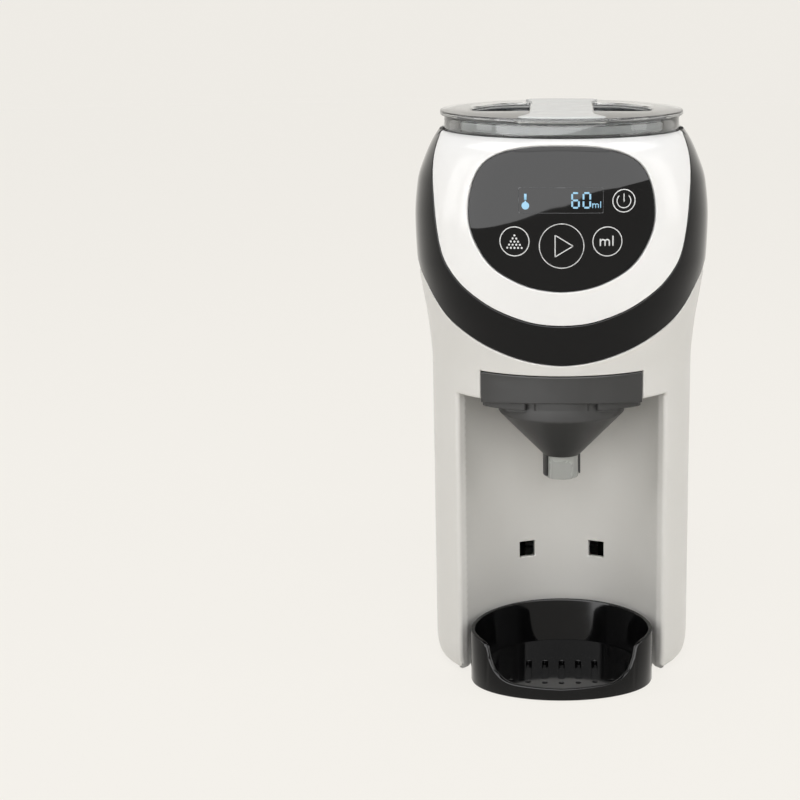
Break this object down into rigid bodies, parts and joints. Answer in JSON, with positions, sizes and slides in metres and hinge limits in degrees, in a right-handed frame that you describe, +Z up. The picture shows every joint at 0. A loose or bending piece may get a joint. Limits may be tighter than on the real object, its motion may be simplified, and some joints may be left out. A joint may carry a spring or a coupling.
{
  "type": "baby formula maker",
  "caption": "Counter-top baby formula maker with a black control panel, clear powder container, mixing funnel, drip tray and rear water tank.",
  "frame": {"origin": "middle of the bounding box, on the surface that the feet stand on", "axes": "+Z up, the front with the control panel and drip tray faces -Y, +X is to the right seen from the front"},
  "size_m": [0.1624, 0.275, 0.315],
  "materials": {
    "silver_shell": "satin light grey moulded plastic",
    "white_shield": "gloss white moulded plastic",
    "black_gloss": "high gloss black plastic",
    "panel_black": "glass-smooth black cover with printed symbols",
    "dark_grey": "satin dark grey plastic",
    "black_matte": "fine matte black plastic",
    "clear_plastic": "clear colourless plastic",
    "tank_plastic": "lightly smoked clear plastic",
    "frosted_spout": "frosted translucent plastic",
    "nylon": "natural nylon",
    "rubber": "soft black rubber",
    "silicone": "translucent silicone",
    "steel": "turned steel",
    "aluminium": "cast aluminium",
    "board_green": "green circuit board"
  },
  "bodies": {
    "root": {"front_shell": "silver_shell", "rear_shell": "silver_shell", "front_shield": "white_shield", "trim_band": "black_gloss", "top_deck": "silver_shell", "base_plate": "dark_grey", "panel_cover": "panel_black", "panel_frame": "black_matte", "display": "black_matte", "control_board": "board_green", "container_seat": "black_matte", "powder_chute": "nylon", "gear_case": "dark_grey", "gear_cover": "dark_grey", "drive_motor": "steel", "funnel_dock": "silver_shell", "water_spout": "nylon", "tank_dock": "dark_grey", "float_sensor": "black_matte", "pump_body": "nylon", "pump_cover": "nylon", "pump_motor": "steel", "heater_block": "aluminium", "thermal_cutout": "black_matte", "inlet_hose": "silicone", "heater_hose": "silicone", "spout_hose": "silicone", "chassis": "dark_grey", "power_board": "board_green", "power_inlet": "black_matte", "foot_front_left": "rubber", "foot_front_right": "rubber", "foot_rear_left": "rubber", "foot_rear_right": "rubber", "base_screw_front_left": "steel", "base_screw_front_right": "steel", "base_screw_rear_left": "steel", "base_screw_rear_right": "steel"},
    "drive": {"drive_gear": "nylon", "drive_shaft": "steel"},
    "pinion": {"motor_pinion": "steel"},
    "container": {"powder_container": "clear_plastic", "outlet_guard": "clear_plastic"},
    "dosing": {"dosing_wheel": "black_matte", "stirrer": "black_matte"},
    "lid": {"container_lid": "clear_plastic", "lid_seal": "rubber"},
    "mixer": {"funnel": "dark_grey", "funnel_cover": "dark_grey", "funnel_spout": "frosted_spout"},
    "tray": {"drip_tray": "black_gloss"},
    "plate": {"drip_plate": "black_gloss"},
    "tank": {"water_tank": "tank_plastic", "valve_body": "nylon", "valve_seal": "silicone", "valve_spring": "steel"},
    "tank_cover": {"tank_lid": "silver_shell"},
    "poppet": {"valve_poppet": "nylon"},
    "float": {"tank_float": "nylon"},
    "impeller": {"pump_impeller": "nylon"}
  },
  "joints": [
    {"name": "drive_turn", "type": "hinge", "parent": "root", "child": "drive", "pos_m": [0, -0.0495, 0.22], "axis": [0, 0, 1], "continuous": true},
    {"name": "pinion_turn", "type": "hinge", "parent": "root", "child": "pinion", "pos_m": [0, -0.0235, 0.22], "axis": [0, 0, 1], "continuous": true},
    {"name": "container_lift", "type": "slide", "parent": "root", "child": "container", "axis": [0, 0, 1], "range_m": [0, 0.08]},
    {"name": "dosing_turn", "type": "hinge", "parent": "container", "child": "dosing", "pos_m": [0, -0.0495, 0.252], "axis": [0, 0, 1], "continuous": true},
    {"name": "lid_lift", "type": "slide", "parent": "container", "child": "lid", "axis": [0, 0, 1], "range_m": [0, 0.04]},
    {"name": "funnel_slide", "type": "slide", "parent": "root", "child": "mixer", "axis": [0, -1, 0], "range_m": [0, 0.08]},
    {"name": "tray_slide", "type": "slide", "parent": "root", "child": "tray", "axis": [0, -1, 0], "range_m": [0, 0.08]},
    {"name": "plate_lift", "type": "slide", "parent": "tray", "child": "plate", "axis": [0, 0, 1], "range_m": [0, 0.03]},
    {"name": "tank_lift", "type": "slide", "parent": "root", "child": "tank", "axis": [0, 0, 1], "range_m": [0, 0.06]},
    {"name": "tank_lid_turn", "type": "hinge", "parent": "tank", "child": "tank_cover", "pos_m": [0, 0.1339, 0.2889], "axis": [-1, 0, 0], "range_deg": [0, 100]},
    {"name": "poppet_slide", "type": "slide", "parent": "tank", "child": "poppet", "axis": [0, 0, -1], "range_m": [0, 0.0024], "deforming": ["valve_spring"]},
    {"name": "float_rise", "type": "slide", "parent": "tank", "child": "float", "axis": [0, 0, 1], "range_m": [0, 0.02]},
    {"name": "impeller_turn", "type": "hinge", "parent": "root", "child": "impeller", "pos_m": [0, 0.0225, 0.02], "axis": [0, 0, 1], "continuous": true}
  ],
  "couplings": [
    {"joint": "drive_turn", "follows": "dosing_turn", "ratio": 1},
    {"joint": "pinion_turn", "follows": "dosing_turn", "ratio": -3},
    {"joint": "poppet_slide", "follows": "tank_lift", "ratio": 0.04}
  ]
}
